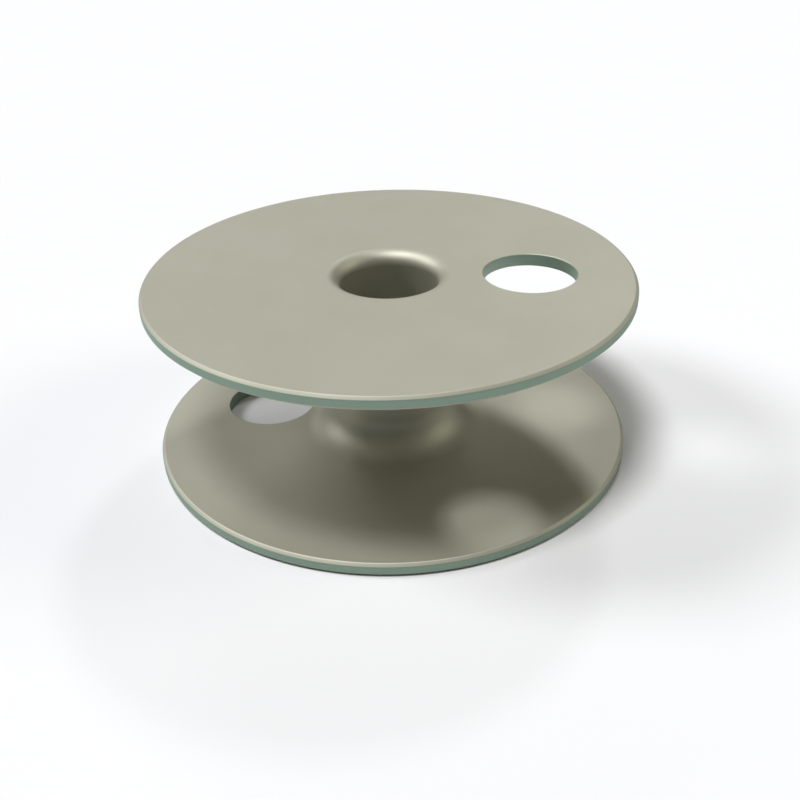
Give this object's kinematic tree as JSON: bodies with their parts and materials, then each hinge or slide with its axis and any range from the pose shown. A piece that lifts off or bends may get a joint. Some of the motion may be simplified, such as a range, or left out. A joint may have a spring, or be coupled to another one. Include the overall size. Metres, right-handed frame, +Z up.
{
  "type": "sewing machine bobbin",
  "caption": "Turned metal spool for the lower thread of a sewing machine: thin flat flanges, each with a thread hole, a flared hub and a smooth-mouthed spindle bore.",
  "frame": {"origin": "on the spool axis, in the outer face of the lower flange that it stands on", "axes": "+Z up along the spool axis; +X towards the thread hole of the upper flange, which lies 4 degrees off it; -Y towards the viewer of the picture"},
  "size_m": [0.03, 0.03, 0.0113],
  "materials": {
    "satin_aluminium": "satin"
  },
  "bodies": {
    "root": {"bobbin": "satin_aluminium"}
  },
  "joints": []
}
